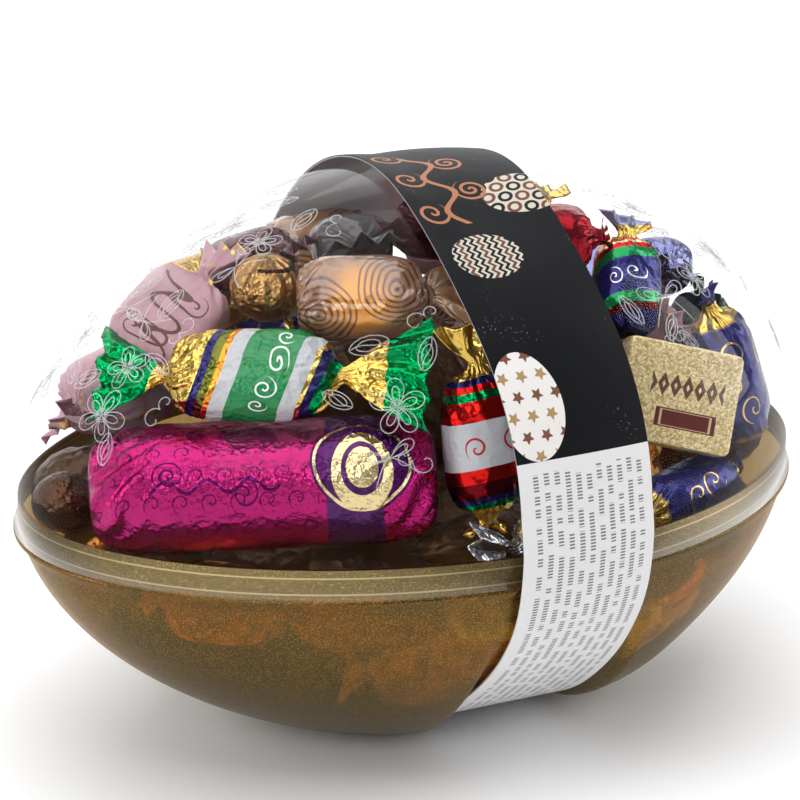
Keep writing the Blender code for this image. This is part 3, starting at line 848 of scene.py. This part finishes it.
def kept_inside(points):
    """Points that would touch the shells are moved in towards the egg's axis."""
    x, level = points[..., 0], points[..., 2]
    room = np.sqrt(radius_squared(x)) - np.where(level > 0, 1.3, 2.7)
    across = blend(CHANNEL[0] - 3, CHANNEL[1] - 3, x) - blend(CHANNEL[2] + 3, CHANNEL[3] + 3, x)
    room = room - (CHANNEL_DEPTH + 0.5) * blend(0, CHANNEL_LEVELS[1], level) * across
    out = np.hypot(points[..., 1], level)
    shrink = np.minimum(1, room / np.maximum(out, 1e-6))
    points = points * stacked(1.0, shrink, shrink)
    points[..., 2] = np.maximum(points[..., 2], FLOOR_LEVEL + 2)
    return points


def make_sweets():
    finishes = {}
    for look, (draw, _, name, roughness) in LOOKS.items():
        finishes[look] = Finish(name, Roughness=roughness)
        draw(finishes[look], *finishes[look].places())
    for seed, sweet in enumerate(SWEETS):
        points, places = wrapper(sweet.shape, sweet.size, sweet.tails, seed, fan_turns(sweet))
        points = kept_inside(turned(points, sweet.place, sweet.angles))
        name = sweet.name + "_wrap"
        mesh = made_mesh(name, points.reshape(-1, 3), tube_faces(len(points), AROUND), places)
        place_piece(name, mesh, finishes[sweet.look], LOOKS[sweet.look][1], sweet.name)


# The filling under them


def lumps():
    """The sweets of the filling: their middles and headings, in rows along the inside of the base."""
    found = []
    for row, (level, count, inset) in enumerate(LUMP_ROWS):
        places = base_form(ring(level, inset), inset)
        steps = np.linalg.norm(np.roll(places, -1, 0) - places, axis=1)
        along = np.concatenate([[0], np.cumsum(steps)])
        for i in range(count):
            wanted = (i + LUMP_SHIFT * row) / count * along[-1]
            j = int(np.searchsorted(along, wanted, "right")) - 1
            ahead = places[(j + 1) % len(places)] - places[j]
            middle = places[j] + ahead * (wanted - along[j]) / steps[j]
            found.append((middle, math.degrees(math.atan2(ahead[1], ahead[0]))))
    return found


def mixed_look():
    """Foils in a colour for each sweet, with a painted glow, stronger lower down, that lights them where
    little light gets through the base.
    """
    finish = Finish("mixed foils", Metallic=0.9, Roughness=0.25)
    number = (finish.places()[2] * LUMP_COLOUR_STEP).math("FRACT")
    palette = ((0, AMBER), (0.2, BROWN), (0.42, GOLD), (0.56, BROWN), (0.74, ORANGE), (0.9, BROWN))
    colour = finish.bands(number, [(*stop, 1) for stop in palette])[0]
    # Painted light: the foils glow in their own colour, more so lower down and in patches
    painted_glow = finish.height().smooth(-12, -30) * (finish.clouds(4).smooth(0.35, 0.65) + 0.3)
    finish.put(Base_Color=colour, Emission_Color=colour, Emission_Strength=painted_glow * 0.75)
    finish.crumple(3.4, 0.4)
    return finish


def make_lumps():
    tubes, places = [], []
    for seed, (middle, heading) in enumerate(lumps()):
        shrink = 1 - LUMP_SHRINK * (middle[0] / HALF_LENGTH) ** 2
        size = (LUMP[0] * shrink, *LUMP[1:])
        tube, place = wrapper("twist", size, (LUMP_TAIL, LUMP_TAIL), seed, sides=LUMP_SIDES)
        tubes.append(kept_inside(turned(tube, middle, (heading, 0, LUMP_ROLL))))
        place[..., 2] = seed
        places.append(place.reshape(-1, 3))
    mesh = made_mesh("filling_sweets", *joined(tubes), np.concatenate(places))
    place_piece("filling_sweets", mesh, mixed_look(), "mixed_sweets")


def make_cores():
    """The heaps between the sweets, painted dark for the shade in the gaps between them; the first two of
    them stand for the filling's own core.
    """
    lean = np.linspace(0, math.pi, CORE_RINGS)[1:-1, None]
    turn = turns_round(AROUND)
    sphere = stacked(np.cos(lean), np.sin(lean) * np.cos(turn), np.sin(lean) * np.sin(turn))
    finish = Finish("shaded foils", Metallic=0.5, Roughness=0.4)
    # Painted shade: near-black browns for the shade in the gaps between the sweets
    finish.put(Base_Color=finish.paint(finish.clouds(9), (0.03, 0.013, 0.008), (0.13, 0.06, 0.015)))
    finish.crumple(5, 0.8)
    for number, (middle, half) in enumerate(HEAP_CORES):
        rough = 1 + CORE_ROUGHNESS * wobble(sphere * 40, 9, number)
        body = kept_inside(sphere * half * rough[..., None] + middle)
        mesh = made_mesh("filling_core", body.reshape(-1, 3), tube_faces(len(body), AROUND))
        nodes = ("filling",) if number < 2 else ()
        place_piece(f"filling_core_{number + 1}", mesh, finish, "mixed_sweets", *nodes)


# The shells


def gold_plastic():
    """Tinted plastic with fine glitter, clearer higher up, with a strip along its rim and two painted
    highlights on it, bright lines that stand for the light on the lid's skirt.
    """
    finish = Finish("gold plastic", Roughness=0.36, Metallic=0.8, Coat_Weight=0.12, Coat_Roughness=0.12)
    height = finish.height()
    ground = finish.paint(finish.clouds(26).smooth(0.35, 0.65), (0.17, 0.088, 0.014), (0.12, 0.082, 0.018))
    ground = finish.paint(height.smooth(-20, -60), ground, (0.13, 0.088, 0.024))
    ground = finish.paint(height > STRIP_START, ground, (0.12, 0.083, 0.027))
    # Painted highlights: two bright lines along the rim, for the light on the lid's skirt
    upper_highlight, lower_highlight = (abs(height - line) < RIM_HIGHLIGHT_HALF for line in RIM_HIGHLIGHT_LEVELS)
    ground = finish.paint(upper_highlight | lower_highlight, ground, (0.34, 0.27, 0.14))
    glitter = finish.cells(0.2)[1].smooth(0.8, 1.0)
    finish.put(Base_Color=finish.paint(glitter * 0.6, ground, (0.5, 0.36, 0.13)))
    clear = height.smooth(-64, -30) * 0.26 + 0.08
    finish.film(finish.shader, clear * (height < STRIP_START), GOLD_LIGHT)
    return finish


def inner_gold():
    finish = Finish("gold plastic inside", Roughness=0.3, Specular_IOR_Level=0.2)
    finish.put(Base_Color=(0.035, 0.021, 0.007))
    finish.film(finish.shader, finish.clouds(20) * 0.1 + 0.6, GOLD_LIGHT)
    return finish


def clear_plastic(name, share):
    """share is how much of its gloss it keeps, which lies near the egg's silhouette."""
    finish = Finish(name)
    gloss = finish.node("ShaderNodeBsdfGlossy", Roughness=0.05, Color=(1.0, 1.0, 1.0))
    slant = Field(finish.tree, finish.node("ShaderNodeLayerWeight", Blend=0.5).outputs["Facing"])
    finish.film(gloss, (slant.math("POWER", 4.5) * share + finish.clouds(14) * 0.003).less())
    finish.tree.nodes.remove(finish.shader)
    return finish


def shell_piece(name, outer, inner, finishes, slot, node):
    """A cup from rings that run from its rim to its pole, outside and inside, with a finish for each."""
    rings = inner[::-1] + outer
    points = np.concatenate(rings)
    around = len(rings[0])
    faces = tube_faces(len(rings), around)
    mesh = made_mesh(name, points, faces)
    sides = (len(outer) - 1) * around
    walls = (len(rings) - 1) * around
    index = np.zeros(len(faces), np.int32)
    index[: walls - sides] = 1
    index[walls: walls + around // 2] = 1
    piece = place_piece(name, mesh, finishes, slot, node)
    piece.data.polygons.foreach_set("material_index", index)


def make_base():
    low = levels_between(-13.0, -66.0)
    foot = np.linspace(-66.0, FLOOR_LEVEL, 6)[1:]
    lip = [ring(0, LIP_INSET, LIP_TOP), ring(0, LIP_INSET, SKIRT_END - GAP)]
    ledge = [ring(0, 0, SKIRT_END - GAP), ring(0, 0, SKIRT_END - GAP - LEDGE_DEPTH)]
    outer = [base_form(ring(level, 0), 0) for level in (*low, *foot)]
    inner = [base_form(ring(level, BASE_WALL), BASE_WALL) for level in (*low[3:], *foot)]
    collar = LIP_INSET + BASE_WALL
    throat = [ring(0, collar, LIP_TOP), ring(0, collar, SKIRT_END - GAP - LEDGE_DEPTH)]
    finishes = (gold_plastic(), inner_gold())
    shell_piece("base_shell", lip + ledge + outer, throat + inner, finishes, "gold_plastic", "base")


def make_lid():
    levels = levels_between(0.0, LID_TOP)
    outer = [ring(0, 0, SKIRT_END)] + [ring(level, 0) for level in levels]
    inner = [ring(0, LID_WALL, SKIRT_END)] + [ring(level, LID_WALL) for level in levels]
    finishes = (clear_plastic("clear plastic", 0.62), clear_plastic("clear plastic inside", 0.05))
    shell_piece("lid_shell", outer, inner, finishes, "clear_plastic", "lid")


# The lid's raised outlines, each drawn in mm on a flat piece that is then laid on the egg


def loop_points(far, turn, start=0.0, end=1.0, count=28):
    """Points at distances far(t) in directions turn(t), as t runs from start to end."""
    t = np.linspace(start, end, count)
    return stacked(far(t) * np.cos(turn(t)), far(t) * np.sin(turn(t)))


def petal(direction, size, spread):
    return loop_points(lambda t: size * np.sin(math.pi * t) ** 0.55, lambda t: direction + spread * (t - 0.5))


def bloom(size):
    """Five petals with a line inside each, round a double ring."""
    lines = [loop_points(lambda t: far * size + 0 * t, lambda t: 2 * math.pi * t) for far in (0.16, 0.24)]
    for i in range(5):
        way = 2 * math.pi * i / 5 + 0.2 * math.sin(3 * i)
        lines += [petal(way, size, 1.35), petal(way, 0.72 * size, 0.8)]
    return lines


def leaf(size):
    """An almond with a rib and a line inside it."""
    t = np.linspace(0, math.pi, 20)
    outline = stacked(size * (1 - np.cos(t)) / 2, 0.24 * size * np.sin(t) ** 1.3)
    closed = np.concatenate([outline, outline[::-1] * (1, -1)])
    rib = stacked(size * t / math.pi, 0.05 * size * np.sin(2 * t))
    return [closed, closed * 0.6 + (0.18 * size, 0), rib]


def tendril(size):
    """Two curls on one stem."""
    curl = loop_points(lambda t: size * (1 - 0.8 * t), lambda t: 5.5 * t, count=40)
    return [curl, curl * (-0.7, 0.7) + (1.7 * size, 0)]


def bow(size):
    """Two open loops and two ends."""
    lines = []
    for side in (-1, 1):
        for far in (1.0, 0.75):
            lines.append(petal(math.pi / 2 - side * 1.25, far * size, 0.9 * far))
        lines.append(stacked(side * np.linspace(0, 0.8, 12) * size, -size * np.linspace(0, 0.9, 12) ** 1.5))
    return lines


MOTIFS = {"bloom": bloom, "leaf": leaf, "tendril": tendril, "bow": bow}


def on_egg(points):
    """Points moved straight from the egg's middle on to its surface."""
    near, far = np.zeros(len(points)), np.full(len(points), 3.0)
    for _ in range(40):
        share = (near + far) / 2
        x = np.clip(points[:, 0] * share, -HALF_LENGTH, HALF_LENGTH)
        inside = share**2 * (points[:, 1] ** 2 + points[:, 2] ** 2) < radius_squared(x)
        near, far = np.where(inside, share, near), np.where(inside, far, share)
    return points * near[:, None]


def laid_on_lid(line, x, angle, turn, side):
    """A flat drawing laid on the lid, with its middle at x and angle above the rim."""
    x = np.array([float(x)])
    girth, slope = np.sqrt(radius_squared(x)), radius_slope(x)
    up = math.radians(angle)
    middle = np.array([x[0], -side * girth[0] * math.cos(up), girth[0] * math.sin(up)])
    normal = unit(np.array([-slope[0] / girth[0], middle[1] / girth[0], middle[2] / girth[0]]))
    higher = unit(np.array([0.0, side * math.sin(up), math.cos(up)]))
    along = np.cross(higher, normal) * side
    cos, sin = math.cos(math.radians(turn)), math.sin(math.radians(turn))
    u, v = line[:, 0] * cos - line[:, 1] * sin, line[:, 0] * sin + line[:, 1] * cos
    return on_egg(middle + u[:, None] * along * np.sign(along[0]) + v[:, None] * higher)


def swept(line, radius, sides=6):
    """Rings round a line of points."""
    ahead = unit(np.gradient(line, axis=0))
    out = unit(line * (0.5, 1, 1))
    across = unit(np.cross(ahead, out))
    out = np.cross(across, ahead)
    turn = turns_round(sides)[:, None]
    taper = np.ones(len(line))
    taper[[0, -1]] = 0.3
    around = np.cos(turn) * across[:, None] + np.sin(turn) * out[:, None]
    return line[:, None] + radius * taper[:, None, None] * around


def make_ridges():
    tubes = [
        swept(laid_on_lid(line, x, angle, turn, side), RIDGE)
        for side in (1, -1)
        for kind, x, angle, size, turn in GARLAND
        for line in MOTIFS[kind](size)
    ]
    # Painted highlight: the clear ridges get a see-through light grey that stands for the light they catch
    finish = Finish("raised outlines", Roughness=0.15, Base_Color=(0.72, 0.73, 0.75))
    finish.film(finish.shader, finish.clouds(6) * 0.5 + 0.42)
    mesh = made_mesh("lid_ridges", *joined(tubes))
    place_piece("lid_ridges", mesh, finish, "clear_plastic")


# The band


def band_points(angle, across, thick):
    """Points of the paper loop. angle runs from the underside, and across from its left edge."""
    x = BAND_START + across + BAND_SKEW * np.exp(-(((angle - SKEW_ANGLE) / SKEW_SPREAD) ** 2))
    girth = math.sqrt(radius_squared(BAND_OVER))
    level = -girth * np.cos(angle)
    sunk = blend(*CHANNEL_LEVELS, level)
    room = GAP + BAND_SKIRT_ROOM * (blend(*SKIRT_LEVELS[:2], level) - blend(*SKIRT_LEVELS[2:], level))
    room = room + CURL * blend(CURL_WIDTH, 0, across) * blend(*CURL_LEVELS, level)
    slimmer = np.sqrt(radius_squared(np.maximum(x, BAND_OVER))) - girth
    room = room + slimmer * (1 - sunk) - CHANNEL_DEPTH * sunk
    radius = girth + room + thick
    return stacked(x, -radius * np.sin(angle), -radius * np.cos(angle))


def oval(x, y, half):
    """Inside an oval with these half sizes."""
    return (x * x / half[0] ** 2 + y * y / half[1] ** 2) < 1


def egg_of_rings(finish, x, y):
    """Cream, with copper and black rings in staggered rows."""
    row = (y / 4.4).math("FLOOR")
    u, v = grid(x + row * 2.45, 4.9), grid(y, 4.4)
    far = distance(u, v)
    dark = ((x / 4.9 + row * 0.5).math("FLOOR") * 0.5 + row * 0.5).math("FRACT") > 0.3
    ring_colour = finish.paint(dark, (0.16, 0.06, 0.035), BLACK)
    return finish.paint(far.between(1.15, 2.15), CREAM, ring_colour)


def egg_of_zigzags(finish, x, y):
    """Cream, with upright zigzag lines."""
    bend = abs((y / 2.2).math("FRACT") - 0.5) * 2.4
    lines = (x + bend) / 1.9
    number = lines.math("FLOOR")
    colour = finish.paint((number / 3).math("FRACT") < 0.3, BLACK, (0.13, 0.055, 0.04))
    return finish.paint(lines.math("FRACT") < 0.52, CREAM, colour)


def egg_of_stars(finish, x, y):
    """White, with copper and gold stars of five points."""
    row = (y / 4.9).math("FLOOR")
    u, v = grid(x + row * 2.6, 5.2), grid(y, 4.9)
    far = distance(u, v)
    point = abs((turn_share(u, v) * 5 + 0.25).math("FRACT") - 0.5) * 2
    star = far * (point * -1.1 + 2.1) < 1.75
    colour = finish.paint((row / 2).math("FRACT") > 0.3, (0.2, 0.08, 0.045), (0.42, 0.27, 0.12))
    return finish.paint(star, (0.82, 0.79, 0.76), colour)


def small_print(finish, across, along):
    """Rows of dashes, broken into words."""
    row = (across / TEXT_PITCH).math("FLOOR")
    words = finish.node("ShaderNodeTexNoise", Scale=1.0, Detail=0.0)
    words.noise_dimensions = "1D"
    finish.feed(words.inputs["W"], along * 0.33 + row * 17.3)
    word = Field(finish.tree, words.outputs["Fac"]).between(0.0, 0.58)
    letter = ((along + row * 0.3) / 0.8).math("FRACT") < 0.55
    return word * letter * (abs(grid(across, TEXT_PITCH)) < 0.72) * across.between(2.5, 35.5)


def flourish(finish, across, degrees, along):
    """A waving stem with a curl in each of its bends."""
    stem = across - STEM_PLACE + ((degrees - FIRST_CURL) * (math.pi / CURL_STEP)).math("COSINE") * STEM_WAVE
    drawn = (abs(stem) < 0.85) * degrees.between(157, 186)
    for i in range(5):
        side, turns, thick = (1, -2, 0.2) if i % 2 else (-1, 1.5, 0.15)
        middle = (STEM_PLACE + side * (STEM_WAVE + 4.4), (FIRST_CURL + CURL_STEP * i) * DEGREE_LENGTH)
        drawn = drawn | finish.spiral(across, along, middle, 4.6, turns, thick)
    return drawn


def paper_look():
    finish = Finish("printed paper", Roughness=0.5, Specular_IOR_Level=0.15)
    finish.put(Coat_Weight=0.03, Coat_Roughness=0.2)
    across, degrees, outside = finish.places()
    along = degrees * DEGREE_LENGTH
    above = degrees > PANEL_ANGLE
    text = small_print(finish, across, along) * (degrees < PANEL_ANGLE - 2.2)
    white = finish.paint(text, (0.78, 0.77, 0.77), (0.2, 0.2, 0.21))
    colour = finish.paint(degrees < PANEL_ANGLE, BLACK, white)
    for place, half, lean, draw in (
        ((32.6, 165.2), (11.8, 8.8), 0.4, egg_of_rings),
        ((12.8, 148.4), (9.4, 6.8), 0.0, egg_of_zigzags),
        ((6.8, 117.2), (8.9, 13.4), 0.0, egg_of_stars),
    ):
        y = along - place[1] * DEGREE_LENGTH
        x = across - place[0] - y * lean
        colour = finish.paint(oval(x, y, half) * above, colour, draw(finish, x, y))
    colour = finish.paint(flourish(finish, across, degrees, along), colour, COPPER)
    # Grey specks on the black, partly dust and partly painted sheen
    dust_and_sheen = (finish.cells(0.3)[1] > 0.965) * finish.clouds(14).smooth(0.55, 0.68) * above
    colour = finish.paint(dust_and_sheen * 0.6, colour, (0.2, 0.2, 0.21))
    finish.put(Base_Color=finish.paint(outside > 0.5, INSIDE_PAPER, colour))
    finish.bump(finish.clouds(18), 0.5)
    return finish


def make_band():
    width = BAND_END - BAND_START
    columns = np.linspace(0, width, BAND_COLUMNS)
    across = np.concatenate([columns, columns[::-1]])[None]
    thick = np.concatenate([np.zeros(BAND_COLUMNS), np.full(BAND_COLUMNS, BAND_THICK)])[None]
    angle = turns_round(BAND_STEPS)[:, None]
    points = band_points(angle, across, thick)
    places = stacked(across, np.degrees(angle), thick / BAND_THICK)
    faces = tube_faces(BAND_STEPS, 2 * BAND_COLUMNS, closed=True)
    mesh = made_mesh("band_paper", points.reshape(-1, 3), faces, places)
    mesh.set_sharp_from_angle(angle=math.radians(40))
    place_piece("band_paper", mesh, paper_look(), "printed_paper", "band")


# Floor, light and camera


def make_stage():
    bpy.ops.mesh.primitive_grid_add(x_subdivisions=4, y_subdivisions=4, size=8)
    floor = bpy.context.object
    floor.name = "floor"
    finish = Finish("pale floor", Roughness=0.7)
    finish.put(Base_Color=finish.paint(finish.clouds(400), (0.93, 0.93, 0.93), (0.95, 0.95, 0.95)))
    floor.data.materials.append(finish.material)
    world = bpy.data.worlds.new("studio")
    world.use_nodes = True
    sky = world.node_tree.nodes["Background"]
    sky.inputs["Color"].default_value = (0.93, 0.95, 1.0, 1)
    sky.inputs["Strength"].default_value = 0.3
    bpy.context.scene.world = world
    target = Vector((0, 0, 0.07))
    for name, place, size, radiance in (
        ("top panel", (-0.1, 0.1, 1.7), (2.4, 1.8), 2.2),
        ("back panel", (0.5, 2.3, 0.9), (3.6, 1.8), 1.2),
        ("left panel", (-1.5, 0.2, 0.6), (0.6, 1.2), 4.0),
        ("right panel", (1.5, -0.2, 0.6), (0.6, 1.2), 4.0),
        ("front panel", (-1.5, -1.7, 1.3), (1.1, 0.9), 4.5),
    ):
        light = bpy.data.lights.new(name, "AREA")
        light.shape = "RECTANGLE"
        light.size, light.size_y = size
        light.energy = radiance * math.pi * size[0] * size[1]
        lamp = bpy.data.objects.new(name, light)
        lamp.location = place
        lamp.rotation_euler = (target - Vector(place)).to_track_quat("-Z", "Y").to_euler()
        bpy.context.scene.collection.objects.link(lamp)


def make_camera():
    data = bpy.data.cameras.new("camera")
    data.lens = LENS
    data.sensor_width = 36.0
    data.clip_end = 20
    camera = bpy.data.objects.new("camera", data)
    turn = Matrix((CAMERA_RIGHT, CAMERA_UP, -Vector(CAMERA_FORWARD))).transposed()
    camera.matrix_world = Matrix.Translation(CAMERA_PLACE) @ turn.to_4x4()
    bpy.context.scene.collection.objects.link(camera)
    bpy.context.scene.camera = camera


make_stage()
make_camera()
make_base()
make_lid()
make_ridges()
make_band()
make_lumps()
make_cores()
make_sweets()

scene = bpy.context.scene
scene.view_settings.view_transform = "Standard"
scene.cycles.transparent_max_bounces = 24
